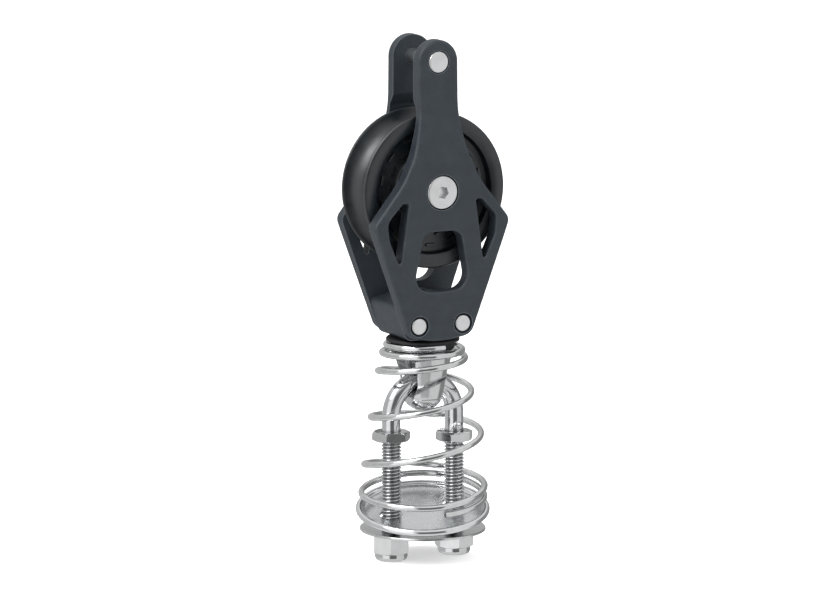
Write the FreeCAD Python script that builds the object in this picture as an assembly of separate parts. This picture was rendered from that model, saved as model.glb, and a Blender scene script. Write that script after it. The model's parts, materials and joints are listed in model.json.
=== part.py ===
"""Single sheave block on a stand-up spring base: one STEP file per physical piece.

Frame, in millimetres: +Z up along the swivel axis, origin on that axis at the underside of
the base plate, which is the deck plane. The sheave turns about Y and the rope runs along X.
The front plate is at -Y. Heights called "local" are measured from the sheave's centre.
"""
import FreeCAD
import Part
import math
import os

V = FreeCAD.Vector
AXIS_X, AXIS_Y, AXIS_Z = V(1, 0, 0), V(0, 1, 0), V(0, 0, 1)

# sheave
SHEAVE_Z = 99.8            # height of the sheave's centre above the deck plane
SHEAVE_R = 22.5
RIM_HALF = 7.3             # half width of the rim band
RIM_EDGE_HALF = 6.7        # half width at the rim's outer edge
GROOVE_HALF = 6.3
GROOVE_BOTTOM_R = 17.0
WEB_HALF = 4.6             # half thickness of the recessed web
WEB_OUTER_R = 18.3
HUB_R = 10.6
HUB_HALF = 7.8
DASH_COUNT = 14            # raised dashes on each ring of the web
DASH_RINGS = (13.2, 16.0)  # centre radius of each ring of dashes
DASH_LENGTH = 3.2
DASH_WIDTH = 0.8
DASH_HEIGHT = 0.6
DASH_EMBED = 0.4           # how deep a dash is sunk into the web

# axle and bearing
AXLE_R = 4.0
AXLE_HEAD_R = 4.8
AXLE_HEAD_T = 2.4
AXLE_HEAD_EDGE = 0.5       # rounding of the head's outer edge
AXLE_SCREW_R = 2.5
SEAT_GAP = 0.25            # ring gap between a head and its counterbore
SLEEVE_R = 6.0
BUSH_R = 7.5
RUNNING = 0.05             # radial and end clearance of every running fit
WASHER_R = 9.5
SOCKET_AF = 3.2
SOCKET_DEPTH = 1.8

# side plates
PLATE_IN = 8.4             # inner face, from the mid plane
EAR_IN = 6.25              # inner face of the becket ears
EAR_OUT = 10.0
PLATE_OUT = 12.5           # outer face at the axle
PLATE_FOOT_OUT = 11.4      # outer face at the plate's lower edge
OUTER_BEVEL = 0.9
WINDOW_BEVEL = 0.5
EAR_R = 6.3

# becket pin and head rivets
PIN_Z = 37.1               # local height of the becket pin
PIN_R = 2.2
PIN_HEAD_R = 3.05
PIN_HEAD_T = 1.1
PIN_HEAD_EDGE = 0.35       # rounding of the pin's and the rivets' heads
RIVET_X = 7.03
RIVET_Z = -38.3            # local height of the head rivets
RIVET_R = 1.8
RIVET_HEAD_R = 2.35
RIVET_SEAT_R = 2.95
RIVET_HEAD_T = 1.2
RIVET_FACE = 11.6          # outer face of the rivet heads, from the mid plane

# head block and swivel
HEAD_BOTTOM_Z = 57.0
HEAD_SHOULDER_Z = 67.2
HEAD_TOP_Z = 70.2
STEM_R = 3.0
WELL_R = 6.0               # well for the swivel nut
WELL_Z = 62.8
WASHER_T = 0.8
LOW_WASHER_R = 7.0
LOW_WASHER_T = 0.5
NUT_AF = 8.0
NUT_T = 4.0
CAP_Z = 53.3
CAP_TOP_Z = 56.4
CAP_FLANGE_R = 10.6
CAP_FLANGE_Z = 55.55
CAP_HUB_R = 9.25

# swivel eye
EYE_HALF = 4.7             # half width of its arms along X
EYE_FOOT_R = 6.2           # radius of its ball-shaped foot
EYE_BOTTOM_Z = 34.8
EYE_DISC_R = 9.1
EYE_DISC_Z = 51.7
WINDOW_TOP_Z = 51.3
WINDOW_HALF = 5.1
SADDLE_R = 2.85
SADDLE_Z = 41.1            # top of the eye's lower band, just under the arch
BELL = 1.9                 # rounding of the window's mouths

# U-bolt and nuts
ROD_R = 2.68
LEG_X = 10.2
ARCH_Z = 33.8              # centre of the arch
LEG_END_Z = -7.8
THREAD_TOP_Z = 27.4
THREAD_R = 2.9             # crest radius of the rolled thread
THREAD_ROOT_R = 2.4
THREAD_PITCH = 1.0
HEX_AF = 10.0
JAM_Z = {"left": 26.9, "right": 25.4}
JAM_T = 2.8
LOCK_T = 8.0
LOCK_HEX_T = 5.9
LOCK_LIP_T = 0.3           # rolled lip that holds the insert
INSERT_R = 4.0
JAM_TURN = {"left": 49.0, "right": 53.5}
LOCK_TURN = {"left": 2.5, "right": 18.5}

# base plate, and the spring dish that rocks on the studs above it
BASE_R = 18.2
BASE_T = 0.8
BASE_EDGE = 0.25           # rounding of the base plate's edge
BASE_HOLE_R = 3.15
DISH_Z = 6.2               # height of the bead's middle, at the swivel axis
DISH_TILT = 11.5           # the dish lies tilted, with its front down on the base plate
DISH_AXIS_ANGLE = -27.5    # direction of the axis that it tilts about, from X
DISH_FLOOR_R = 16.7
DISH_T = 0.8
DISH_DEPTH = 0.1           # the floor's top lies this far under the bead's middle
BEAD_R = 1.05
BEAD_RING_R = 18.35
DISH_HOLE_R = 3.45

# spring
WIRE_R = 0.95
POINTS_PER_TURN = 16
SPRING_PHASE = 152.5       # direction, in degrees, at which whole turns are counted
# (turn, height, coil radius), from the dead coil on the dish to the one under the cap
SPRING_STATIONS = (
    (-0.69, 7.5, 17.5), (-0.5, 9.9, 17.8), (-0.25, 13.1, 17.6), (0.0, 10.9, 17.7), (0.25, 9.6, 18.0),
    (0.5, 12.9, 17.9), (1.0, 19.1, 16.9), (1.6, 29.6, 16.8), (2.0, 32.9, 15.0), (2.5, 40.6, 14.0),
    (3.0, 46.5, 12.9), (3.5, 50.4, 12.2), (4.0, 51.9, 11.7), (4.5, 52.7, 11.4), (5.0, 54.2, 10.5),
    (5.35, CAP_FLANGE_Z - WIRE_R, 10.35))


def at_sheave(shape):
    """Moves a shape built about the sheave's centre up to its height."""
    return shape.translated(V(0, 0, SHEAVE_Z))


def box(x, y, z):
    """A box between the pairs (low, high) along X, Y and Z."""
    return Part.makeBox(x[1] - x[0], y[1] - y[0], z[1] - z[0], V(x[0], y[0], z[0]))


def tube(r_out, r_in, low, high, axis=AXIS_Z, centre=V(0, 0, 0)):
    """A ring about an axis from low to high along it; r_in of 0 makes a solid rod."""
    base = centre + axis * low
    solid = Part.makeCylinder(r_out, high - low, base, axis)
    if r_in:
        solid = solid.cut(Part.makeCylinder(r_in, high - low, base, axis))
    return solid


def rounded_wire(corners, place):
    """A closed outline with a tangent arc at each corner (u, v, radius)."""
    starts, arcs = [], []
    count = len(corners)
    for i, (u, v, radius) in enumerate(corners):
        corner = V(u, v, 0)
        before = (V(*corners[i - 1][:2], 0) - corner).normalize()
        after = (V(*corners[(i + 1) % count][:2], 0) - corner).normalize()
        half = before.getAngle(after) / 2
        reach = radius / math.tan(half)
        bisector = (before + after).normalize()
        middle = corner + bisector * (radius / math.sin(half) - radius)
        first, last = corner + before * reach, corner + after * reach
        starts.append((first, last))
        arcs.append(Part.Arc(place(first), place(middle), place(last)).toShape())
    edges = []
    for i in range(count):
        edges.append(arcs[i])
        end, start = starts[i][1], starts[(i + 1) % count][0]
        if (end - start).Length > 1e-6:
            edges.append(Part.LineSegment(place(end), place(start)).toShape())
    return Part.Wire(Part.__sortEdges__(edges))


def prism_y(corners, low, high):
    """An outline in XZ, pushed along Y from low to high."""
    wire = rounded_wire(corners, lambda p: V(p.x, low, p.y))
    return Part.Face(wire).extrude(V(0, high - low, 0))


def prism_x(corners, half):
    """An outline in YZ, pushed along X to both sides of the mid plane."""
    wire = rounded_wire(corners, lambda p: V(-half, p.x, p.y))
    return Part.Face(wire).extrude(V(2 * half, 0, 0))


def mirrored(right_half):
    """Completes a symmetric outline, given from its top to its bottom on the +u side."""
    left = [(-u, v, r) for u, v, r in reversed(right_half) if u > 0]
    return list(right_half) + left


def revolve_z(points):
    """A polygon of (radius, height) turned about Z."""
    ring = [V(r, 0, z) for r, z in points]
    return Part.Face(Part.makePolygon(ring + ring[:1])).revolve(V(0, 0, 0), AXIS_Z, 360)


def hex_prism(across_flats, low, high, turn):
    """A hexagonal prism about Z with its corners turned by some degrees."""
    radius = across_flats / math.sqrt(3)
    angles = [math.radians(60 * i + turn) for i in range(6)]
    ring = [V(radius * math.cos(a), radius * math.sin(a), low) for a in angles]
    return Part.Face(Part.makePolygon(ring + ring[:1])).extrude(V(0, 0, high - low))


def nut(across_flats, low, high, bore, turn, crown_low=True):
    """A hexagonal nut with its corners turned down at the top and, if asked, the bottom."""
    corner = across_flats / math.sqrt(3) + 0.01
    flat = across_flats / 2 - 0.15
    drop = (corner - flat) * math.tan(math.radians(30))
    outline = [(0, high), (flat, high), (corner, high - drop)]
    outline += [(corner, low + drop), (flat, low)] if crown_low else [(corner, low)]
    blank = hex_prism(across_flats, low, high, turn)
    turned = revolve_z(outline + [(0, low)])
    return blank.common(turned).cut(tube(bore, 0, low - 1, high + 1))


# ---------------------------------------------------------------- sheave and axle

def sheave_profile():
    """Half section of the sheave: (radius, width) edges from the hub to the groove."""
    def p(radius, width):
        return V(radius, width, 0)

    outer = [p(BUSH_R, 0), p(BUSH_R, HUB_HALF), p(HUB_R, HUB_HALF), p(HUB_R + 0.6, WEB_HALF),
             p(WEB_OUTER_R - 0.5, WEB_HALF), p(WEB_OUTER_R + 0.2, RIM_HALF),
             p(SHEAVE_R - 0.5, RIM_HALF), p(SHEAVE_R, RIM_EDGE_HALF), p(SHEAVE_R - 0.2, GROOVE_HALF)]
    edges = [Part.LineSegment(a, b).toShape() for a, b in zip(outer, outer[1:])]
    depth = SHEAVE_R - 0.2 - GROOVE_BOTTOM_R
    groove_r = (GROOVE_HALF ** 2 + depth ** 2) / (2 * depth)
    angle = math.asin(GROOVE_HALF / groove_r) / 2
    middle = p(GROOVE_BOTTOM_R + groove_r * (1 - math.cos(angle)), groove_r * math.sin(angle))
    edges.append(Part.Arc(outer[-1], middle, p(GROOVE_BOTTOM_R, 0)).toShape())
    edges.append(Part.LineSegment(p(GROOVE_BOTTOM_R, 0), outer[0]).toShape())
    return Part.Face(Part.Wire(Part.__sortEdges__(edges)))


def dash(radius, angle, side):
    """One raised dash on the web, along the tangent at some angle."""
    bar = box((radius - DASH_WIDTH / 2, radius + DASH_WIDTH / 2), (0, DASH_HEIGHT + DASH_EMBED),
              (-DASH_LENGTH / 2, DASH_LENGTH / 2))
    if side < 0:
        bar = bar.mirror(V(0, 0, 0), AXIS_Y)
    bar.translate(V(0, side * (WEB_HALF - DASH_EMBED), 0))
    bar.rotate(V(0, 0, 0), AXIS_Y, angle)
    return bar


def make_sheave():
    half = sheave_profile().revolve(V(0, 0, 0), AXIS_Y, 360)
    body = half.fuse(half.mirror(V(0, 0, 0), AXIS_Y)).removeSplitter()
    dashes = []
    for ring, radius in enumerate(DASH_RINGS):
        for i in range(DASH_COUNT):
            angle = 360.0 / DASH_COUNT * (i + 0.5 * ring)
            dashes += [dash(radius, angle, -1), dash(radius, angle, 1)]
    return at_sheave(body.fuse(dashes))


def make_sheave_bush():
    return at_sheave(tube(BUSH_R, SLEEVE_R + RUNNING, -HUB_HALF, HUB_HALF, AXIS_Y))


def make_bearing_sleeve():
    return at_sheave(tube(SLEEVE_R, AXLE_R, -PLATE_IN, PLATE_IN, AXIS_Y))


def make_side_washer(side):
    low, high = HUB_HALF + RUNNING, PLATE_IN - RUNNING
    ring = tube(WASHER_R, SLEEVE_R + RUNNING, low, high, AXIS_Y)
    return at_sheave(ring if side > 0 else ring.mirror(V(0, 0, 0), AXIS_Y))


def axle_head(side):
    """The domed head that fills a plate's counterbore."""
    face = PLATE_OUT * side
    head = Part.makeCylinder(AXLE_HEAD_R, AXLE_HEAD_T, V(0, face, 0), V(0, -side, 0))
    rim = [e for e in head.Edges if e.Closed and abs(e.BoundBox.YMin - face) < 1e-3]
    return head.makeFillet(AXLE_HEAD_EDGE, rim[:1])


def make_axle_barrel():
    floor = PLATE_OUT - AXLE_HEAD_T
    body = tube(AXLE_R, AXLE_SCREW_R, -floor, floor, AXIS_Y).fuse(axle_head(1))
    blind = tube(AXLE_SCREW_R, 0, -floor, floor - 1.5, AXIS_Y)
    return at_sheave(body.cut(blind).removeSplitter())


def make_axle_screw():
    floor = PLATE_OUT - AXLE_HEAD_T
    shank = tube(AXLE_SCREW_R, 0, -floor, floor - 2.0, AXIS_Y)
    body = axle_head(-1).fuse(shank)
    socket = hex_prism(SOCKET_AF, 0, SOCKET_DEPTH, 10)
    socket.rotate(V(0, 0, 0), AXIS_X, -90)
    socket.translate(V(0, -PLATE_OUT, 0))
    return at_sheave(body.cut(socket))


# ---------------------------------------------------------------- side plates

def plate_outline():
    return mirrored([
        (EAR_R, PIN_Z + EAR_R, EAR_R), (EAR_R, 21.0, 30), (8.4, 11.5, 30), (12.3, 3.2, 25),
        (21.9, -8.8, 3.0), (10.0, -41.7, 4.0), (0, -43.5, 30)])


def plate_section():
    """The plate's thickness in the YZ plane, for the rear plate."""
    return [(EAR_IN, 46, 0.5), (EAR_IN, 26.4, 1.2), (PLATE_IN, 23.4, 1.2), (PLATE_IN, -46, 0.5),
            (PLATE_FOOT_OUT, -46, 0.5), (PLATE_OUT, -14, 60), (PLATE_OUT, 9, 20),
            (EAR_OUT + 0.1, 26, 20), (EAR_OUT - 0.3, 46, 0.5)]


def centre_window():
    return mirrored([(5.9, -11.2, 3.4), (9.0, -27.9, 4.4), (0, -28.8, 40)])


def side_slot():
    return [(10.75, -2.5, 0.7), (12.6, -2.5, 0.7), (17.4, -7.6, 3.5), (16.9, -13.0, 9),
            (13.35, -20.9, 0.5)]


def window_cutters():
    slot = side_slot()
    other = [(-u, v, r) for u, v, r in slot]
    return [prism_y(outline, 0, 20) for outline in (centre_window(), slot, other)]


def outer_rim(shape):
    """The edges round the plate's outer face, without the ones that run through its thickness."""
    picked = []
    for edge in shape.Edges:
        middle = (edge.FirstParameter + edge.LastParameter) / 2
        point, along = edge.valueAt(middle), edge.tangentAt(middle)
        if point.y > EAR_OUT - 0.7 and abs(along.y) < 0.9 and on_outline(point):
            picked.append(edge)
    return picked


def on_outline(point):
    """True beside the plate's outer outline."""
    blank = Part.Face(rounded_wire(plate_outline(), lambda p: V(p.x, 0, p.y)))
    flat = V(point.x, 0, point.z)
    return blank.OuterWire.distToShape(Part.Vertex(flat))[0] < 0.05


def outer_mouth(plate, cutter):
    """The edges round a window's mouth in the plate's outer face."""
    picked = []
    for edge in plate.Edges:
        middle = (edge.FirstParameter + edge.LastParameter) / 2
        point, along = edge.valueAt(middle), edge.tangentAt(middle)
        on_cutter = cutter.Shells[0].distToShape(Part.Vertex(point))[0] < 1e-3
        if point.y > EAR_OUT and abs(along.y) < 0.9 and on_cutter:
            picked.append(edge)
    return picked


def make_rear_plate():
    blank = prism_y(plate_outline(), 4, 16).common(prism_x(plate_section(), 30))
    blank = blank.makeFillet(OUTER_BEVEL, outer_rim(blank))
    for cutter in window_cutters():
        blank = blank.cut(cutter)
        blank = blank.makeFillet(WINDOW_BEVEL, outer_mouth(blank, cutter))
    blank = blank.cut(tube(AXLE_R, 0, 0, 20, AXIS_Y))
    blank = blank.cut(tube(AXLE_HEAD_R + SEAT_GAP, 0, PLATE_OUT - AXLE_HEAD_T, 20, AXIS_Y))
    pin_centre = V(0, 0, PIN_Z)
    seat = EAR_OUT - PIN_HEAD_T
    blank = blank.cut(tube(PIN_R, 0, 0, 20, AXIS_Y, pin_centre))
    blank = blank.cut(tube(PIN_HEAD_R + SEAT_GAP, 0, seat, 20, AXIS_Y, pin_centre))
    for x in (-RIVET_X, RIVET_X):
        centre = V(x, 0, RIVET_Z)
        blank = blank.cut(tube(RIVET_R, 0, 0, 20, AXIS_Y, centre))
        blank = blank.cut(tube(RIVET_SEAT_R, 0, RIVET_FACE - RIVET_HEAD_T, 20, AXIS_Y, centre))
    return blank


def make_side_plate(side):
    rear = make_rear_plate()
    return at_sheave(rear if side > 0 else rear.mirror(V(0, 0, 0), AXIS_Y))


# ---------------------------------------------------------------- pins, head and swivel

def double_headed(shaft_r, head_r, head_t, face, centre):
    """A pin along Y with a rounded head at each end, its faces at +face and -face."""
    pin = tube(shaft_r, 0, -face + head_t, face - head_t, AXIS_Y, centre)
    for side in (-1, 1):
        head = Part.makeCylinder(head_r, head_t, centre + V(0, side * face, 0), V(0, -side, 0))
        rim = [e for e in head.Edges if e.Closed and abs(e.BoundBox.YMin - side * face) < 1e-3]
        pin = pin.fuse(head.makeFillet(PIN_HEAD_EDGE, rim[:1]))
    return at_sheave(pin.removeSplitter())


def make_becket_pin():
    return double_headed(PIN_R, PIN_HEAD_R, PIN_HEAD_T, EAR_OUT, V(0, 0, PIN_Z))


def make_head_rivet(x):
    return double_headed(RIVET_R, RIVET_HEAD_R, RIVET_HEAD_T, RIVET_FACE, V(x, 0, RIVET_Z))


def make_head_block():
    outline = mirrored([(0, HEAD_TOP_Z, 24), (12.9, HEAD_SHOULDER_Z, 1.6), (9.6, HEAD_BOTTOM_Z, 2.6)])
    body = prism_y(outline, -PLATE_IN, PLATE_IN)
    body = body.cut(tube(STEM_R + RUNNING, 0, 40, 80))
    body = body.cut(tube(WELL_R, 0, WELL_Z, 80))
    for x in (-RIVET_X, RIVET_X):
        body = body.cut(tube(RIVET_R, 0, -20, 20, AXIS_Y, V(x, 0, SHEAVE_Z + RIVET_Z)))
    return body


def make_spring_cap():
    profile = [(STEM_R + RUNNING, CAP_Z), (CAP_HUB_R - 0.4, CAP_Z), (CAP_HUB_R, CAP_Z + 0.4),
               (CAP_HUB_R, CAP_FLANGE_Z), (CAP_FLANGE_R, CAP_FLANGE_Z),
               (CAP_FLANGE_R, CAP_TOP_Z - 0.3), (CAP_FLANGE_R - 0.3, CAP_TOP_Z),
               (STEM_R + RUNNING, CAP_TOP_Z)]
    return revolve_z(profile)


def make_swivel_washer_lower():
    return tube(LOW_WASHER_R, STEM_R + RUNNING, CAP_TOP_Z + RUNNING / 2, CAP_TOP_Z + LOW_WASHER_T)


def make_swivel_washer_upper():
    return tube(WELL_R - 0.4, STEM_R + RUNNING, WELL_Z + RUNNING, WELL_Z + RUNNING + WASHER_T)


def swivel_nut_z():
    return WELL_Z + 2 * RUNNING + WASHER_T


def make_swivel_nut():
    low = swivel_nut_z()
    return nut(NUT_AF, low, low + NUT_T, STEM_R, 20)


def eye_blank():
    """Cone of the eye with a ball-shaped foot, and the disc on which the cap sits."""
    centre = V(0, 0, EYE_BOTTOM_Z + EYE_FOOT_R)

    def on_foot(degrees):
        angle = math.radians(degrees)
        return centre + V(math.cos(angle), 0, math.sin(angle)) * EYE_FOOT_R

    bottom, middle, touch = on_foot(-90), on_foot(-51), on_foot(-12)
    rim_low, rim_high = V(EYE_DISC_R - 0.2, 0, EYE_DISC_Z), V(EYE_DISC_R, 0, CAP_Z)
    edges = [Part.Arc(bottom, middle, touch).toShape(),
             Part.LineSegment(touch, rim_low).toShape(),
             Part.LineSegment(rim_low, rim_high).toShape(),
             Part.LineSegment(rim_high, V(0, 0, CAP_Z)).toShape(),
             Part.LineSegment(V(0, 0, CAP_Z), bottom).toShape()]
    return Part.Face(Part.Wire(edges)).revolve(V(0, 0, 0), AXIS_Z, 360)


def window_wire(x, grow):
    """The outline of the eye's window at some X, enlarged at its foot and sides."""
    corners = mirrored([(WINDOW_HALF + grow / 2, WINDOW_TOP_Z, 2.2),
                        (SADDLE_R + 0.6 + grow, SADDLE_Z - grow, SADDLE_R + grow)])
    return rounded_wire(corners, lambda p: V(x, p.x, p.y))


def window_cutter():
    """The through window for the arch: narrow at the saddle, with bell mouths along X."""
    stations = [(EYE_HALF * t, BELL * t ** 2) for t in (0.0, 0.5, 1.0, 1.8)]
    wires = [window_wire(-x, grow) for x, grow in reversed(stations[1:])]
    wires += [window_wire(x, grow) for x, grow in stations]
    return Part.makeLoft(wires, True, False)


def make_swivel_eye():
    slab = mirrored([(EYE_HALF + 3.2, CAP_Z + 2, 0.5), (EYE_HALF + 3.2, EYE_DISC_Z - 1.2, 1.5),
                     (EYE_HALF, EYE_DISC_Z - 4.0, 3.0), (EYE_HALF, EYE_BOTTOM_Z - 2, 0.5)])
    body = eye_blank().common(prism_y(slab, -12, 12))
    body = body.fuse(tube(EYE_DISC_R, 0, EYE_DISC_Z, CAP_Z))
    body = body.cut(window_cutter())
    stem_top = swivel_nut_z() + NUT_T + 0.8
    return body.fuse(tube(STEM_R, 0, CAP_Z - 0.5, stem_top)).removeSplitter()


# ---------------------------------------------------------------- U-bolt, nuts and dish

def threaded_leg():
    """A leg about Z: plain above the rolled thread, ring grooves below, a chamfered end."""
    profile = [(0, ARCH_Z), (ROD_R, ARCH_Z), (ROD_R, THREAD_TOP_Z + 0.2)]
    count = int((THREAD_TOP_Z - LEG_END_Z - 1.0) / THREAD_PITCH)
    for i in range(count):
        top = THREAD_TOP_Z - i * THREAD_PITCH
        profile += [(THREAD_R, top), (THREAD_ROOT_R, top - 0.4 * THREAD_PITCH),
                    (THREAD_ROOT_R, top - 0.5 * THREAD_PITCH), (THREAD_R, top - 0.9 * THREAD_PITCH)]
    profile += [(THREAD_R, LEG_END_Z + 0.7), (THREAD_ROOT_R, LEG_END_Z), (0, LEG_END_Z)]
    return revolve_z(profile)


def make_u_bolt():
    arch = Part.makeTorus(LEG_X, ROD_R, V(0, 0, ARCH_Z), AXIS_Y)
    arch = arch.common(box((-20, 20), (-20, 20), (ARCH_Z, ARCH_Z + 20)))
    legs = [threaded_leg().translated(V(x, 0, 0)) for x in (-LEG_X, LEG_X)]
    return arch.fuse(legs).removeSplitter()


def side_x(side):
    return -LEG_X if side == "left" else LEG_X


def make_jam_nut(side):
    low = JAM_Z[side]
    body = nut(HEX_AF, low, low + JAM_T, THREAD_R, JAM_TURN[side])
    return body.translated(V(side_x(side), 0, 0))


def make_lock_nut(side):
    """Hexagon under the base plate with a rolled collar that holds the insert."""
    collar_r = HEX_AF / 2 - 0.25
    low = -LOCK_T
    lip_r = THREAD_R + 0.6
    body = nut(HEX_AF, -LOCK_HEX_T, 0, THREAD_R, LOCK_TURN[side])
    collar = revolve_z([(INSERT_R, -LOCK_HEX_T), (collar_r, -LOCK_HEX_T), (collar_r, low + 1.1),
                        (collar_r - 0.35, low + 0.35), (collar_r - 1.1, low),
                        (lip_r, low), (lip_r, low + LOCK_LIP_T), (INSERT_R, low + LOCK_LIP_T)])
    return body.fuse(collar).translated(V(side_x(side), 0, 0))


def make_lock_insert(side):
    ring = tube(INSERT_R, THREAD_R, -LOCK_T + LOCK_LIP_T, -LOCK_HEX_T)
    return ring.translated(V(side_x(side), 0, 0))


def stud_holes(radius):
    return [tube(radius, 0, -5, 5, AXIS_Z, V(x, 0, 0)) for x in (-LEG_X, LEG_X)]


def make_base_plate():
    disc = Part.makeCylinder(BASE_R, BASE_T)
    rims = [e for e in disc.Edges if e.Closed]
    return disc.makeFillet(BASE_EDGE, rims).cut(stud_holes(BASE_HOLE_R))


def dish_profile():
    """Half section of the dish about its own middle: flat floor and a rolled bead."""
    def on_bead(degrees):
        angle = math.radians(degrees)
        return V(BEAD_RING_R + BEAD_R * math.cos(angle), 0, BEAD_R * math.sin(angle))

    top, bottom = -DISH_DEPTH, -DISH_DEPTH - DISH_T
    floor_end = V(DISH_FLOOR_R, 0, top)
    start = on_bead(155)
    corner = V((floor_end.x + start.x) / 2 + 0.1, 0, (top + start.z) / 2 - 0.1)
    under = on_bead(-122)
    segments = [Part.LineSegment(V(0, 0, top), floor_end), Part.Arc(floor_end, corner, start),
                Part.Arc(start, on_bead(90), on_bead(0)), Part.Arc(on_bead(0), on_bead(-60), under),
                Part.LineSegment(under, V(DISH_FLOOR_R, 0, bottom)),
                Part.LineSegment(V(DISH_FLOOR_R, 0, bottom), V(0, 0, bottom)),
                Part.LineSegment(V(0, 0, bottom), V(0, 0, top))]
    return Part.Face(Part.Wire([e.toShape() for e in segments]))


def make_base_dish():
    """Shallow dish with a rolled bead, tilted on the studs."""
    angle = math.radians(DISH_AXIS_ANGLE)
    dish = dish_profile().revolve(V(0, 0, 0), AXIS_Z, 360).cut(stud_holes(DISH_HOLE_R))
    dish.rotate(V(0, 0, 0), V(math.cos(angle), math.sin(angle), 0), DISH_TILT)
    return dish.translated(V(0, 0, DISH_Z))


# ---------------------------------------------------------------- spring

def station_value(turn, column):
    """Value of a station column at some turn, by cubic pieces that never overshoot."""
    rows = SPRING_STATIONS
    last = len(rows) - 1
    k = max(i for i in range(last) if rows[i][0] <= turn + 1e-9)

    def secant(i):
        return (rows[i + 1][column] - rows[i][column]) / (rows[i + 1][0] - rows[i][0])

    def slope(i):
        if i in (0, last) or secant(i - 1) * secant(i) <= 0:
            return 0.0
        return 2 * secant(i - 1) * secant(i) / (secant(i - 1) + secant(i))

    span = rows[k + 1][0] - rows[k][0]
    s = (turn - rows[k][0]) / span
    rise = rows[k + 1][column] - rows[k][column]
    start, end = slope(k) * span, slope(k + 1) * span
    return rows[k][column] + start * s + (3 * rise - 2 * start - end) * s ** 2 + \
        (start + end - 2 * rise) * s ** 3


def spring_point(turn):
    angle = math.radians(SPRING_PHASE) + 2 * math.pi * turn
    radius = station_value(turn, 2)
    return V(radius * math.cos(angle), radius * math.sin(angle), station_value(turn, 1))


def make_spring():
    first, last = SPRING_STATIONS[0][0], SPRING_STATIONS[-1][0]
    steps = int((last - first) * POINTS_PER_TURN)
    path = Part.BSplineCurve()
    path.interpolate([spring_point(first + (last - first) * i / steps) for i in range(steps + 1)])
    start = path.value(path.FirstParameter)
    along = path.tangent(path.FirstParameter)[0]
    ring = Part.Wire(Part.Circle(start, along, WIRE_R).toShape())
    return Part.Wire(path.toShape()).makePipeShell([ring], True, True)


PIECES = {
    "side_plate_front": lambda: make_side_plate(-1),
    "side_plate_rear": lambda: make_side_plate(1),
    "sheave": make_sheave,
    "sheave_bush": make_sheave_bush,
    "bearing_sleeve": make_bearing_sleeve,
    "side_washer_front": lambda: make_side_washer(-1),
    "side_washer_rear": lambda: make_side_washer(1),
    "axle_screw": make_axle_screw,
    "axle_barrel": make_axle_barrel,
    "becket_pin": make_becket_pin,
    "head_block": make_head_block,
    "head_rivet_left": lambda: make_head_rivet(-RIVET_X),
    "head_rivet_right": lambda: make_head_rivet(RIVET_X),
    "swivel_eye": make_swivel_eye,
    "swivel_washer_lower": make_swivel_washer_lower,
    "swivel_washer_upper": make_swivel_washer_upper,
    "swivel_nut": make_swivel_nut,
    "spring_cap": make_spring_cap,
    "spring": make_spring,
    "u_bolt": make_u_bolt,
    "jam_nut_left": lambda: make_jam_nut("left"),
    "jam_nut_right": lambda: make_jam_nut("right"),
    "base_dish": make_base_dish,
    "base_plate": make_base_plate,
    "lock_nut_left": lambda: make_lock_nut("left"),
    "lock_nut_right": lambda: make_lock_nut("right"),
    "lock_insert_left": lambda: make_lock_insert("left"),
    "lock_insert_right": lambda: make_lock_insert("right"),
}

os.makedirs("parts", exist_ok=True)
for name, make in PIECES.items():
    shape = make()
    print(name, "solids", len(shape.Solids), "valid", shape.isValid(), "volume", round(shape.Volume, 1))
    shape.exportStep("parts/" + name + ".step")
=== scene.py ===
"""Looks of the single sheave block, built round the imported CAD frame. Lengths are in metres."""
import json
import math

import bmesh
import bpy
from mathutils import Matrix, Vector


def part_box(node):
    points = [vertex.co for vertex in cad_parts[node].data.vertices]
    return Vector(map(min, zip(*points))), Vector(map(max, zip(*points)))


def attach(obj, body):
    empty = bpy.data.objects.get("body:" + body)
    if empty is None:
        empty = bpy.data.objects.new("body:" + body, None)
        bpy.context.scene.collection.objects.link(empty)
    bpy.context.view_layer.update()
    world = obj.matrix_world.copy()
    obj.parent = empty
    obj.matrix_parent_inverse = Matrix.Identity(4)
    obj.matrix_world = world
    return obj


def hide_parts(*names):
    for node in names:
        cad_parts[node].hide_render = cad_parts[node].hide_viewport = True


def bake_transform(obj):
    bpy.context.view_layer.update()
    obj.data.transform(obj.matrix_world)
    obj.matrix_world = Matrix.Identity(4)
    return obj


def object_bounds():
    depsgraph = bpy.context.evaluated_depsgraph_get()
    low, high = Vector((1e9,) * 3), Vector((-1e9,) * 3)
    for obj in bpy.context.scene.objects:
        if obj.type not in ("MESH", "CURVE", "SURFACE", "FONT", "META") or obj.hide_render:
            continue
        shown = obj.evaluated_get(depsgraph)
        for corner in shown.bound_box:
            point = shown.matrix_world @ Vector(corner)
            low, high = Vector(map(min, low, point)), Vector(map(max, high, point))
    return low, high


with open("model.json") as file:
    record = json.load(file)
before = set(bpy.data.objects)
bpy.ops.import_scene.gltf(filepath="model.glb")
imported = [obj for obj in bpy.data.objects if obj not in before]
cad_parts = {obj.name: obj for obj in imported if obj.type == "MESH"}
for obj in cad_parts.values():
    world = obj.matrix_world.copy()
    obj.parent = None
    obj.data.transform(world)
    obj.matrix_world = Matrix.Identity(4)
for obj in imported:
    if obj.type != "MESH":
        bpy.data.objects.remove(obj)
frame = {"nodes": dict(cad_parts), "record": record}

MM = 0.001
NODES = frame["nodes"]
CAD_BOX = [[float(v) for v in corner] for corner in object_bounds()]

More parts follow.
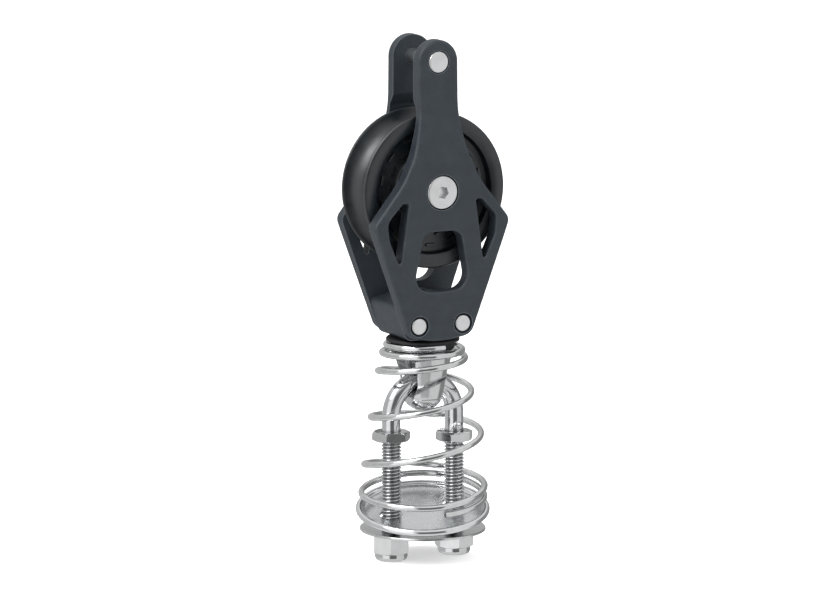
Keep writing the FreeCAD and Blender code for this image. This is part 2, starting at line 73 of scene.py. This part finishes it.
# shared places, read from the frame
ARCH_TOP_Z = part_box("u_bolt")[1].z
LEG_END_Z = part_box("u_bolt")[0].z
THREAD_R = (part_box("u_bolt")[1].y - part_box("u_bolt")[0].y) / 2
LEG_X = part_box("u_bolt")[1].x - THREAD_R
ROD_R = 2.68 * MM
ARCH_Z = ARCH_TOP_Z - ROD_R - LEG_X
THREAD_TOP_Z = 27.4 * MM
THREAD_PITCH = 1.0 * MM
THREAD_DEPTH = 0.50 * MM
SHEAVE_Z = (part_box("sheave")[0].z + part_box("sheave")[1].z) / 2
DISH_RING_R = 18.35 * MM   # radius of the dish's bead, at the middle of its roll
DISH_FLOOR_R = DISH_RING_R - 1.9 * MM   # the satin floor ends here
DISH_BEAD_R = DISH_RING_R - 1.0 * MM    # and the bright bead starts here
CREST_DEPTH = 0.2 * MM     # the thread is left unshaded down to this depth; deeper, its roots get painted shade
ROOT_SHADE_FADE = 0.5 * MM      # height over which the painted shade in the thread's roots ends at the thread's top


# ---------------------------------------------------------------- helpers

def set_stops(ramp, stops):
    """Gives a ramp node its (position, colour) stops."""
    elements = ramp.color_ramp.elements
    while len(elements) < len(stops):
        elements.new(0.5)
    for element, (position, colour) in zip(elements, stops):
        element.position = position
        element.color = (*colour, 1)


def add_object(name, data):
    """A new object in the scene."""
    thing = bpy.data.objects.new(name, data)
    bpy.context.scene.collection.objects.link(thing)
    return thing


def round_angles(count):
    """Even angles round a circle."""
    return [2 * math.pi * i / count for i in range(count)]


class Tree:
    """A material's node tree with short calls for adding and linking nodes."""

    def __init__(self, name):
        self.material = bpy.data.materials.new(name)
        self.material.use_nodes = True
        self.nodes = self.material.node_tree.nodes
        self.links = self.material.node_tree.links
        self.shader = self.nodes["Principled BSDF"]
        self.place = self.add("ShaderNodeTexCoord").outputs["Object"]

    def add(self, kind, **settings):
        node = self.nodes.new(kind)
        for key, value in settings.items():
            setattr(node, key, value)
        return node

    def link(self, source, node, socket):
        self.links.new(source, node.inputs[socket])

    def noise(self, scale, detail=3.0, roughness=0.55, stretch=(1, 1, 1)):
        """Noise in object space; scale is in waves per metre."""
        mapping = self.add("ShaderNodeMapping")
        mapping.inputs["Scale"].default_value = stretch
        self.link(self.place, mapping, "Vector")
        noise = self.add("ShaderNodeTexNoise")
        noise.inputs["Scale"].default_value = scale
        noise.inputs["Detail"].default_value = detail
        noise.inputs["Roughness"].default_value = roughness
        self.link(mapping.outputs["Vector"], noise, "Vector")
        return noise.outputs["Fac"]

    def ramp(self, source, stops):
        """A colour ramp from (position, colour) stops."""
        ramp = self.add("ShaderNodeValToRGB")
        set_stops(ramp, stops)
        self.link(source, ramp, "Fac")
        return ramp.outputs["Color"]

    def span(self, source, low, high, from_low=0.3, from_high=0.7):
        """Maps a value range onto another."""
        node = self.add("ShaderNodeMapRange")
        node.inputs["From Min"].default_value = from_low
        node.inputs["From Max"].default_value = from_high
        node.inputs["To Min"].default_value = low
        node.inputs["To Max"].default_value = high
        self.link(source, node, "Value")
        return node.outputs["Result"]

    def mix(self, factor, first, second):
        node = self.add("ShaderNodeMix", data_type="RGBA")
        self.link(factor, node, 0)
        self.link(first, node, 6)
        self.link(second, node, 7)
        return node.outputs[2]

    def math(self, operation, first, second=0.0):
        node = self.add("ShaderNodeMath", operation=operation)
        for index, value in enumerate((first, second)):
            if isinstance(value, (int, float)):
                node.inputs[index].default_value = value
            else:
                self.link(value, node, index)
        return node.outputs[0]

    def edges(self, radius, low=0.0, high=0.12):
        """A mask that is 1 along the sharp edges within a radius, and 0 on flat stretches."""
        bevel = self.add("ShaderNodeBevel", samples=6)
        bevel.inputs["Radius"].default_value = radius
        geometry = self.add("ShaderNodeNewGeometry")
        dot = self.add("ShaderNodeVectorMath", operation="DOT_PRODUCT")
        self.link(bevel.outputs["Normal"], dot, 0)
        self.link(geometry.outputs["True Normal"], dot, 1)
        turned = self.math("SUBTRACT", 1.0, dot.outputs["Value"])
        return self.span(turned, 0.0, 1.0, low, high)

    def bump(self, height, strength, distance, radius=0.0):
        """Bump from a height, over normals softened at the edges by a bevel radius."""
        node = self.add("ShaderNodeBump")
        node.inputs["Strength"].default_value = strength
        node.inputs["Distance"].default_value = distance
        self.link(height, node, "Height")
        if radius:
            bevel = self.add("ShaderNodeBevel", samples=6)
            bevel.inputs["Radius"].default_value = radius
            self.link(bevel.outputs["Normal"], node, "Normal")
        self.link(node.outputs["Normal"], self.shader, "Normal")

    def set(self, **values):
        for key, value in values.items():
            self.shader.inputs[key.replace("_", " ")].default_value = value


# ---------------------------------------------------------------- materials

def anodised_charcoal():
    """Bead-blasted, hard-anodised aluminium: fine grain, slight mottling, and paler edges that are a
    painted highlight.
    """
    t = Tree("anodised_charcoal")
    t.set(Metallic=0.0, Specular_IOR_Level=0.32)
    mottle = t.noise(260, 4)
    body = t.ramp(mottle, [(0.3, (0.013, 0.018, 0.024)), (0.7, (0.020, 0.026, 0.032))])
    grain = t.noise(5200, 2)
    speck = t.ramp(grain, [(0.35, (0.009, 0.013, 0.017)), (0.75, (0.036, 0.044, 0.052))])
    fleck = t.span(grain, 0.0, 0.6)
    colour = t.mix(fleck, body, speck)
    # painted highlight: the base colour is mixed towards this pale grey along the edges, by the bevel
    # mask rim
    painted_edge_highlight = t.ramp(mottle, [(0.3, (0.12, 0.14, 0.16)), (0.7, (0.18, 0.20, 0.22))])
    rim = t.math("MULTIPLY", t.edges(0.45 * MM), 0.5)
    t.link(t.mix(rim, colour, painted_edge_highlight), t.shader, "Base Color")
    t.link(t.span(mottle, 0.44, 0.56), t.shader, "Roughness")
    t.bump(grain, 0.22, 0.05 * MM, 0.25 * MM)
    return t.material


def sheave_black():
    """Moulded black sheave: a satin sheen over faint clouds and a fine grain."""
    t = Tree("sheave_black")
    t.set(Metallic=0.0, Specular_IOR_Level=0.6, Coat_Weight=0.15, Coat_Roughness=0.3)
    cloud = t.noise(300, 4)
    t.link(t.ramp(cloud, [(0.3, (0.003, 0.005, 0.007)), (0.7, (0.008, 0.011, 0.014))]),
           t.shader, "Base Color")
    t.link(t.span(cloud, 0.30, 0.42), t.shader, "Roughness")
    t.bump(t.noise(4200, 3), 0.12, 0.04 * MM)
    return t.material


def bearing_plastic():
    t = Tree("bearing_plastic")
    cloud = t.noise(400, 3)
    t.set(Specular_IOR_Level=0.4)
    t.link(t.ramp(cloud, [(0.3, (0.012, 0.012, 0.013)), (0.7, (0.026, 0.027, 0.029))]),
           t.shader, "Base Color")
    t.link(t.span(cloud, 0.42, 0.56), t.shader, "Roughness")
    t.bump(t.noise(5000, 2), 0.15, 0.03 * MM)
    return t.material


def cap_black():
    """Matt moulded black of the spring cap, with a fine spark-eroded grain."""
    t = Tree("cap_black")
    cloud = t.noise(500, 4)
    t.set(Specular_IOR_Level=0.35)
    t.link(t.ramp(cloud, [(0.3, (0.006, 0.006, 0.007)), (0.7, (0.015, 0.015, 0.017))]),
           t.shader, "Base Color")
    t.link(t.span(cloud, 0.5, 0.65), t.shader, "Roughness")
    t.bump(t.noise(6500, 2), 0.3, 0.05 * MM, 0.2 * MM)
    return t.material


def nylon_insert():
    t = Tree("nylon_insert")
    cloud = t.noise(700, 3)
    t.set(Subsurface_Weight=0.15, Subsurface_Scale=0.5 * MM, Specular_IOR_Level=0.4)
    t.link(t.ramp(cloud, [(0.3, (0.62, 0.64, 0.66)), (0.7, (0.78, 0.79, 0.80))]),
           t.shader, "Base Color")
    t.link(t.span(cloud, 0.4, 0.55), t.shader, "Roughness")
    t.bump(t.noise(3500, 2), 0.1, 0.03 * MM)
    return t.material


def steel(name, low, high, shades, scratch_scale, stretch, strength, tint=(0.985, 0.995, 1.0)):
    """Stainless steel: roughness from low to high, fine drawn scratches and slight staining."""
    t = Tree(name)
    t.set(Metallic=1.0)
    cloud = t.noise(350, 4)
    dark, light = (tuple(shade * c for c in tint) for shade in shades)
    t.link(t.ramp(cloud, [(0.3, dark), (0.7, light)]), t.shader, "Base Color")
    scratch = t.noise(scratch_scale, 3, 0.6, stretch)
    blend = t.math("MULTIPLY", t.math("ADD", cloud, scratch), 0.5)
    t.link(t.span(blend, low, high), t.shader, "Roughness")
    t.bump(scratch, strength, 0.02 * MM, 0.12 * MM)
    return t.material


def polished_steel():
    return steel("steel_polished", 0.08, 0.13, (0.56, 0.62), 2400, (1, 1, 0.12), 0.012)


def satin_steel():
    return steel("steel_satin", 0.26, 0.36, (0.64, 0.76), 4200, (1, 1, 1), 0.06)


def brushed_steel():
    return steel("steel_brushed", 0.16, 0.28, (0.56, 0.66), 2400, (0.05, 1, 1), 0.10)


def dish_steel():
    """The pressed dish: a soft satin floor inside a bright rolled bead."""
    t = Tree("dish_steel")
    t.set(Metallic=1.0)
    cloud = t.noise(240, 4)
    t.link(t.ramp(cloud, [(0.3, (0.64, 0.65, 0.66)), (0.7, (0.72, 0.73, 0.74))]),
           t.shader, "Base Color")
    flat = t.add("ShaderNodeVectorMath", operation="MULTIPLY")
    flat.inputs[1].default_value = (1, 1, 0)
    t.link(t.place, flat, 0)
    length = t.add("ShaderNodeVectorMath", operation="LENGTH")
    t.link(flat.outputs["Vector"], length, 0)
    floor = t.span(length.outputs["Value"], 1.0, 0.0, DISH_FLOOR_R, DISH_BEAD_R)
    satin = t.math("MULTIPLY", floor, t.span(cloud, 0.14, 0.19))
    t.link(t.math("ADD", satin, t.span(cloud, 0.07, 0.12)), t.shader, "Roughness")
    t.bump(t.noise(3200, 3, 0.55, (0.15, 1, 1)), 0.012, 0.02 * MM)
    return t.material


def bolt_steel():
    """Polished steel of the U-bolt, with painted shade darkening the roots of its thread."""
    t = Tree("bolt_steel")
    t.set(Metallic=1.0)
    parts = t.add("ShaderNodeSeparateXYZ")
    t.link(t.place, parts, "Vector")
    across = t.math("SUBTRACT", t.math("ABSOLUTE", parts.outputs["X"]), LEG_X)
    depth = parts.outputs["Y"]
    square = t.math("ADD", t.math("MULTIPLY", across, across), t.math("MULTIPLY", depth, depth))
    radius = t.math("SQRT", square)
    crest = t.span(radius, 0.0, 1.0, THREAD_R - THREAD_DEPTH, THREAD_R - CREST_DEPTH)
    plain = t.span(parts.outputs["Z"], 0.0, 1.0, THREAD_TOP_Z - ROOT_SHADE_FADE, THREAD_TOP_Z)
    unshaded_mask = t.math("MAXIMUM", crest, plain)
    cloud = t.noise(350, 4)
    bright = t.ramp(cloud, [(0.3, (0.54, 0.55, 0.56)), (0.7, (0.64, 0.65, 0.66))])
    # painted shade: the thread's roots are darkened towards the dark grey below, while the crests and
    # the plain rod keep the bright steel
    painted_root_shade = t.ramp(cloud, [(0.3, (0.16, 0.16, 0.16)), (0.7, (0.25, 0.25, 0.245))])
    t.link(t.mix(unshaded_mask, painted_root_shade, bright), t.shader, "Base Color")
    dull = t.math("MULTIPLY", t.math("SUBTRACT", 1.0, unshaded_mask), 0.25)
    t.link(t.math("ADD", dull, t.span(cloud, 0.08, 0.14)), t.shader, "Roughness")
    t.bump(t.noise(2400, 3, 0.6, (1, 1, 0.12)), 0.03, 0.02 * MM)
    return t.material


def wire_steel():
    return steel("wire_steel", 0.06, 0.12, (0.58, 0.68), 2600, (1, 1, 1), 0.015)


def floor_white():
    t = Tree("floor_white")
    cloud = t.noise(6, 2)
    t.link(t.ramp(cloud, [(0.3, (0.90, 0.90, 0.90)), (0.7, (0.92, 0.92, 0.92))]),
           t.shader, "Base Color")
    t.set(Roughness=0.9, Specular_IOR_Level=0.1, Emission_Strength=0.35)
    t.shader.inputs["Emission Color"].default_value = (1, 1, 1, 1)
    return t.material


MATERIALS = {
    "anodised_charcoal": anodised_charcoal(),
    "sheave_black": sheave_black(),
    "bearing_plastic": bearing_plastic(),
    "cap_black": cap_black(),
    "nylon_insert": nylon_insert(),
    "steel_satin": satin_steel(),
    "steel_polished": polished_steel(),
    "steel_brushed": brushed_steel(),
}
WIRE = wire_steel()
BOLT = bolt_steel()
DISH = dish_steel()


def dress_frame():
    """Gives every CAD node the material of its slot."""
    slots = {part["node"]: part["material_slot"] for part in frame["record"]["subparts"]}
    for name, node in NODES.items():
        node.data.materials.clear()
        node.data.materials.append(DISH if name == "base_dish" else MATERIALS[slots[name]])


# ---------------------------------------------------------------- mesh helpers

def finish_mesh(name, bm, material, body, smooth_angle):
    """Turns a bmesh into a smooth-shaded piece that rides on a body."""
    bmesh.ops.recalc_face_normals(bm, faces=bm.faces)
    mesh = bpy.data.meshes.new(name)
    bm.to_mesh(mesh)
    bm.free()
    mesh.materials.append(material)
    piece = add_object(name, mesh)
    mesh.shade_smooth()
    mesh.set_sharp_from_angle(angle=math.radians(smooth_angle))
    if body:
        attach(piece, body)
    return piece


def skin(bm, rings):
    """Joins rings of points with quads and closes the ends."""
    rows = [[bm.verts.new(p) for p in ring] for ring in rings]
    count = len(rows[0])
    for low, high in zip(rows, rows[1:]):
        for i in range(count):
            j = (i + 1) % count
            bm.faces.new((low[i], low[j], high[j], high[i]))
    bm.faces.new(rows[0][::-1])
    bm.faces.new(rows[-1])


# ---------------------------------------------------------------- spring

WIRE_R = 0.95 * MM
WIRE_SIDES = 20
SPRING_PHASE = math.radians(152.5)
FLANGE_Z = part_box("spring")[1].z - WIRE_R
# (turn, height in mm, coil radius in mm)
STATION_ROWS = (
    (-0.69, 7.5, 17.5), (-0.5, 9.9, 17.8), (-0.25, 13.1, 17.6), (0.0, 10.9, 17.7), (0.25, 9.6, 18.0),
    (0.5, 12.9, 17.9), (1.0, 19.1, 16.9), (1.6, 29.6, 16.8), (2.0, 32.9, 15.0), (2.5, 40.6, 14.0),
    (3.0, 46.5, 12.9), (3.5, 50.4, 12.2), (4.0, 51.9, 11.7), (4.5, 52.7, 11.4), (5.0, 54.2, 10.5),
    (5.35, FLANGE_Z / MM, 10.35))
STATIONS = [(turn, height * MM, radius * MM) for turn, height, radius in STATION_ROWS]
SPRING_STEPS = 64          # points per turn
TANGENT_STEP = 0.002       # turns either side of a point, for the wire's direction
# name, first and last turn, the two bodies, and the heights between which it was to turn from one body
# to the other; each part ends where it follows one body alone
SPRING_PARTS = (
    ("spring_foot", STATIONS[0][0], 1.0, ("dish", "base"), (13.0 * MM, 18.0 * MM)),
    ("spring_lower", 1.0, 2.5, ("base", "spring"), (26.0 * MM, 39.5 * MM)),
    ("spring_upper", 2.5, STATIONS[-1][0], ("spring", "eye"), (41.8 * MM, 51.0 * MM)))


def station_value(turn, column):
    """Value of a station column at some turn, by cubic pieces that never overshoot."""
    last = len(STATIONS) - 1
    k = max(i for i in range(last) if STATIONS[i][0] <= turn + 1e-9)

    def secant(i):
        low, high = STATIONS[i], STATIONS[i + 1]
        return (high[column] - low[column]) / (high[0] - low[0])

    def slope(i):
        if i in (0, last) or secant(i - 1) * secant(i) <= 0:
            return 0.0
        return 2 * secant(i - 1) * secant(i) / (secant(i - 1) + secant(i))

    span = STATIONS[k + 1][0] - STATIONS[k][0]
    s = (turn - STATIONS[k][0]) / span
    rise = STATIONS[k + 1][column] - STATIONS[k][column]
    start, end = slope(k) * span, slope(k + 1) * span
    square = (3 * rise - 2 * start - end) * s ** 2
    cube = (start + end - 2 * rise) * s ** 3
    return STATIONS[k][column] + start * s + square + cube


def spring_point(turn):
    turn = min(max(turn, STATIONS[0][0]), STATIONS[-1][0])
    angle = SPRING_PHASE + 2 * math.pi * turn
    radius = station_value(turn, 2)
    return Vector((radius * math.cos(angle), radius * math.sin(angle), station_value(turn, 1)))


def wire_ring(turn):
    """A ring of the wire at some turn."""
    centre = spring_point(turn)
    along = (spring_point(turn + TANGENT_STEP) - spring_point(turn - TANGENT_STEP)).normalized()
    outward = Vector((centre.x, centre.y, 0)).normalized()
    outward = (outward - along * outward.dot(along)).normalized()
    across = along.cross(outward)
    return [centre + (outward * math.cos(a) + across * math.sin(a)) * WIRE_R
            for a in round_angles(WIRE_SIDES)]


def make_spring():
    """The spring in three lengths of one wire."""
    for name, first, last, bodies, heights in SPRING_PARTS:
        bm = bmesh.new()
        steps = round((last - first) * SPRING_STEPS)
        skin(bm, [wire_ring(first + (last - first) * i / steps) for i in range(steps + 1)])
        piece = finish_mesh(name, bm, WIRE, None, 60)
        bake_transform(piece)
        if name == "spring_lower":
            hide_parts("spring")


# ---------------------------------------------------------------- U-bolt

ROD_SIDES = 48
THREAD_STEPS = 12          # rings per turn of thread
ARCH_STEPS = 72
GROOVE_REACH = 0.42        # from the middle of a thread groove to its rim, in pitches
ROOT_FLATNESS = 1.35       # above 1, the groove has a flat root
END_TAPER = 0.7 * MM       # height of the taper at a leg's end
RUN_OUT = 1.5              # pitches over which the thread fades at its top


def leg_radius(z, angle):
    """Radius of a leg at some height and angle: a right-handed thread that runs out at its top."""
    if z >= THREAD_TOP_Z:
        return ROD_R
    phase = (z / THREAD_PITCH - angle / (2 * math.pi)) % 1.0
    groove = min(1.0, max(0.0, 1 - abs(phase - 0.5) / GROOVE_REACH) * ROOT_FLATNESS)
    taper = max(0.0, 1 - (z - LEG_END_Z) / END_TAPER)
    cut = THREAD_R - THREAD_DEPTH * max(groove, taper)
    fade = min(1.0, (THREAD_TOP_Z - z) / (RUN_OUT * THREAD_PITCH))
    return ROD_R + (cut - ROD_R) * fade


def leg_ring(side, z):
    """A ring of the right (1) or left (-1) leg, counted outwards from the arch's outer side."""
    ring = []
    for a in round_angles(ROD_SIDES):
        r = leg_radius(z, a if side > 0 else math.pi - a)
        ring.append(Vector((side * (LEG_X + r * math.cos(a)), r * math.sin(a), z)))
    return ring


def arch_ring(turn):
    """A ring of the plain arch; turn goes from 0 at the right leg to pi at the left."""
    out = Vector((math.cos(turn), 0, math.sin(turn)))
    centre = Vector((0, 0, ARCH_Z)) + out * LEG_X
    return [centre + (out * math.cos(a) + Vector((0, 1, 0)) * math.sin(a)) * ROD_R
            for a in round_angles(ROD_SIDES)]


def make_u_bolt():
    step = THREAD_PITCH / THREAD_STEPS
    count = int((THREAD_TOP_Z - LEG_END_Z) / step)
    heights = [LEG_END_Z + (THREAD_TOP_Z - LEG_END_Z) * i / count for i in range(count + 1)]
    right = [leg_ring(1, z) for z in heights]
    left = [leg_ring(-1, z) for z in reversed(heights)]
    arch = [arch_ring(math.pi * i / ARCH_STEPS) for i in range(ARCH_STEPS + 1)]
    bm = bmesh.new()
    skin(bm, right + arch + left)
    piece = finish_mesh("u_bolt_polished", bm, BOLT, "base", 60)
    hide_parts("u_bolt")


# ---------------------------------------------------------------- sheave

SHEAVE_SEGMENTS = 256
SHEAVE_R = 22.5 * MM
GROOVE_HALF = 6.3 * MM
GROOVE_BOTTOM_R = 17.0 * MM
GROOVE_TOP_R = SHEAVE_R - 0.2 * MM
GROOVE_STEPS = 28
DASH_COUNT = 14
DASH_RINGS = (13.2 * MM, 16.0 * MM)
DASH_LENGTH = 3.2 * MM
DASH_WIDTH = 0.8 * MM
WEB_HALF = 4.6 * MM
DASH_HEIGHT = 0.6 * MM
DASH_EMBED = 0.2 * MM      # how far a dash reaches into the web
DASH_SHOULDER = 0.7        # share of the height below the rounded top
DASH_TOP = 0.75            # width of the top against that of the foot
DASH_END_PULL = 0.25       # the length shrinks by this share of what the width does
DASH_END_STEPS = 6         # points round each end
SOFTENING = 0.2            # mm, the sheave's small roundings


def sheave_side():
    """Half profile from the bore to the groove's lip, as (radius, width) with small roundings."""
    bore, outer = 7.5, SHEAVE_R / MM
    hub, web, rim = 7.8, WEB_HALF / MM, 7.3
    bore_and_hub = [(bore, 0.0), (bore, hub - SOFTENING), (bore + SOFTENING, hub),
                    (10.3, hub), (10.6, hub - SOFTENING)]
    hub_to_web = [(11.1, web + 0.4), (11.6, web), (17.5, web), (18.0, web + 0.3)]
    web_to_rim = [(18.4, rim - 0.3), (18.8, rim), (21.8, rim), (22.2, rim - 0.1)]
    lip = [(outer - 0.05, 6.95), (outer, 6.7), (outer - 0.05, 6.45)]
    return [(r * MM, w * MM) for r, w in bore_and_hub + hub_to_web + web_to_rim + lip]


def groove_curve():
    """Round bottom of the groove, from one lip to the other."""
    depth = GROOVE_TOP_R - GROOVE_BOTTOM_R
    radius = (GROOVE_HALF ** 2 + depth ** 2) / (2 * depth)
    half_angle = math.asin(GROOVE_HALF / radius)
    angles = [half_angle * (1 - 2 * i / GROOVE_STEPS) for i in range(GROOVE_STEPS + 1)]
    return [(GROOVE_BOTTOM_R + radius * (1 - math.cos(a)), radius * math.sin(a)) for a in angles]


def make_sheave():
    side = sheave_side()
    profile = side + groove_curve() + [(r, -w) for r, w in reversed(side[1:])]
    bm = bmesh.new()
    rows = []
    for a in round_angles(SHEAVE_SEGMENTS):
        rows.append([bm.verts.new((r * math.cos(a), w, SHEAVE_Z + r * math.sin(a)))
                     for r, w in profile])
    count = len(profile)
    for i in range(SHEAVE_SEGMENTS):
        this, after = rows[i], rows[(i + 1) % SHEAVE_SEGMENTS]
        for k in range(count):
            n = (k + 1) % count
            bm.faces.new((this[k], this[n], after[n], after[k]))
    for ring, radius in enumerate(DASH_RINGS):
        for i in range(DASH_COUNT):
            for side_sign in (-1, 1):
                add_dash(bm, radius, 2 * math.pi * (i + 0.5 * ring) / DASH_COUNT, side_sign)
    piece = finish_mesh("sheave_moulded", bm, MATERIALS["sheave_black"], "sheave", 40)
    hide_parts("sheave")


def add_dash(bm, radius, angle, side):
    """A raised dash with rounded ends on the web."""
    half_l = DASH_LENGTH / 2
    half_w = DASH_WIDTH / 2
    outline = []
    for end in (1, -1):
        for k in range(DASH_END_STEPS + 1):
            a = math.pi * k / DASH_END_STEPS - math.pi / 2
            outline.append(((half_l - half_w + half_w * math.cos(a)) * end, half_w * math.sin(a) * end))
    out = Vector((math.cos(angle), 0, math.sin(angle)))
    along = Vector((-math.sin(angle), 0, math.cos(angle)))
    centre = Vector((0, 0, SHEAVE_Z)) + out * radius
    levels = ((1.0, -DASH_EMBED), (1.0, DASH_HEIGHT * DASH_SHOULDER), (DASH_TOP, DASH_HEIGHT))
    rings = []
    for scale, lift in levels:
        y = side * (WEB_HALF + lift)
        stretch = 1 - (1 - scale) * DASH_END_PULL
        rings.append([centre + along * (u * stretch) + out * v * scale + Vector((0, y, 0))
                      for u, v in outline])
    skin(bm, rings)


# ---------------------------------------------------------------- studio

AIM = Vector((-0.681, 0.355, 67.02)) * MM
CAMERA_AZIMUTH = math.radians(-27.5)
CAMERA_UP = 9.5            # degrees
CAMERA_DISTANCE = 1.80
LENS = 268.8
WALL_STRENGTH = 1.3        # the shades below are multiplied by it
# shades of the walls by the angle right of the camera, in degrees
WALLS = (
    (-180, 0.40), (-150, 0.51), (-67, 0.51), (-58, 0.985), (-17, 0.985), (-6, 0.146), (35, 0.146),
    (41, 0.69), (97, 0.69), (106, 0.254), (150, 0.254), (180, 0.40))
# how much of the ceiling's and the floor's even shade shows, and that shade, by sine of elevation
EVEN_SHARE = ((-1, 1), (-0.66, 1), (-0.50, 0), (0.40, 0), (0.58, 1), (1, 1))
EVEN_SHADE = ((-1, 0.69), (-0.5, 0.69), (0.5, 0.654), (0.86, 0.77), (1, 0.77))
# name, side in metres, watts, degrees right of the camera and up, distance, seen in reflections
LIGHTS = (
    ("key", 0.5, 5, -50, 45, 0.8, True),
    ("fill", 0.6, 3, 60, 35, 0.9, False),
    ("top", 0.8, 6, 180, 75, 0.9, False))
FLOOR_HALF = 3.0
FLOOR_SEGMENTS = 8
FLOOR_GAP = 0.05 * MM      # between the floor and the lowest point of the part


def add_soft_box(name, side, energy, direction, distance, glossy):
    """A square soft box that points at the object from a direction."""
    light = bpy.data.lights.new(name, "AREA")
    light.shape = "SQUARE"
    light.size = side
    light.energy = energy
    lamp = add_object(name, light)
    lamp.location = AIM + Vector(direction).normalized() * distance
    lamp.rotation_euler = (AIM - lamp.location).to_track_quat("-Z", "Y").to_euler()
    lamp.visible_glossy = glossy


def from_camera(right_degrees, up_degrees):
    """A direction from the object, some degrees right of the camera and up."""
    azimuth = CAMERA_AZIMUTH + math.radians(right_degrees)
    up = math.radians(up_degrees)
    return (math.sin(azimuth) * math.cos(up), -math.cos(azimuth) * math.cos(up), math.sin(up))


def make_floor():
    bm = bmesh.new()
    bmesh.ops.create_grid(bm, x_segments=FLOOR_SEGMENTS, y_segments=FLOOR_SEGMENTS, size=FLOOR_HALF)
    mesh = bpy.data.meshes.new("floor")
    bm.to_mesh(mesh)
    bm.free()
    mesh.materials.append(floor_white())
    floor = add_object("floor", mesh)
    floor.location.z = CAD_BOX[0][2] - FLOOR_GAP
    floor.visible_glossy = False


def grey_ramp(nodes, links, source, stops):
    """A colour ramp of greys over a value, from (position, shade) stops."""
    ramp = nodes.new("ShaderNodeValToRGB")
    set_stops(ramp, [(position, (shade, shade, shade)) for position, shade in stops])
    links.new(source, ramp.inputs["Fac"])
    return ramp.outputs["Color"]


def make_world():
    """Soft studio walls, lighter and darker round the object, white to the camera."""
    world = bpy.data.worlds.new("studio")
    bpy.context.scene.world = world
    world.use_nodes = True
    nodes, links = world.node_tree.nodes, world.node_tree.links
    direction = nodes.new("ShaderNodeTexCoord").outputs["Generated"]
    turned = nodes.new("ShaderNodeMapping")
    turned.inputs["Rotation"].default_value = (0, 0, math.radians(90) - CAMERA_AZIMUTH)
    links.new(direction, turned.inputs["Vector"])
    round_about = nodes.new("ShaderNodeTexGradient")
    round_about.gradient_type = "RADIAL"
    links.new(turned.outputs["Vector"], round_about.inputs["Vector"])
    walls = grey_ramp(nodes, links, round_about.outputs["Fac"],
                      [(degrees / 360 + 0.5, shade) for degrees, shade in WALLS])
    parts = nodes.new("ShaderNodeSeparateXYZ")
    links.new(direction, parts.inputs["Vector"])
    height = nodes.new("ShaderNodeMapRange")
    height.inputs["From Min"].default_value = -1
    links.new(parts.outputs["Z"], height.inputs["Value"])
    level = height.outputs["Result"]
    share = grey_ramp(nodes, links, level, [((z + 1) / 2, v) for z, v in EVEN_SHARE])
    shade = grey_ramp(nodes, links, level, [((z + 1) / 2, v) for z, v in EVEN_SHADE])
    mix = nodes.new("ShaderNodeMix")
    mix.data_type = "RGBA"
    links.new(share, mix.inputs[0])
    links.new(walls, mix.inputs[6])
    links.new(shade, mix.inputs[7])
    studio = nodes["Background"]
    studio.inputs["Strength"].default_value = WALL_STRENGTH
    links.new(mix.outputs[2], studio.inputs["Color"])
    white = nodes.new("ShaderNodeBackground")
    white.inputs["Color"].default_value = (1, 1, 1, 1)
    choice = nodes.new("ShaderNodeMixShader")
    links.new(nodes.new("ShaderNodeLightPath").outputs["Is Camera Ray"], choice.inputs[0])
    links.new(studio.outputs["Background"], choice.inputs[1])
    links.new(white.outputs["Background"], choice.inputs[2])
    links.new(choice.outputs["Shader"], nodes["World Output"].inputs["Surface"])


def make_camera():
    data = bpy.data.cameras.new("camera")
    data.lens = LENS
    data.clip_start = 0.01
    camera = add_object("camera", data)
    camera.location = AIM + Vector(from_camera(0, CAMERA_UP)) * CAMERA_DISTANCE
    camera.rotation_euler = (AIM - camera.location).to_track_quat("-Z", "Y").to_euler()
    bpy.context.scene.camera = camera


def make_studio():
    make_world()
    make_floor()
    for name, side, energy, right, up, distance, glossy in LIGHTS:
        add_soft_box(name, side, energy, from_camera(right, up), distance, glossy)
    make_camera()
    bpy.context.scene.view_settings.view_transform = "Standard"


dress_frame()
make_spring()
make_u_bolt()
make_sheave()
make_studio()
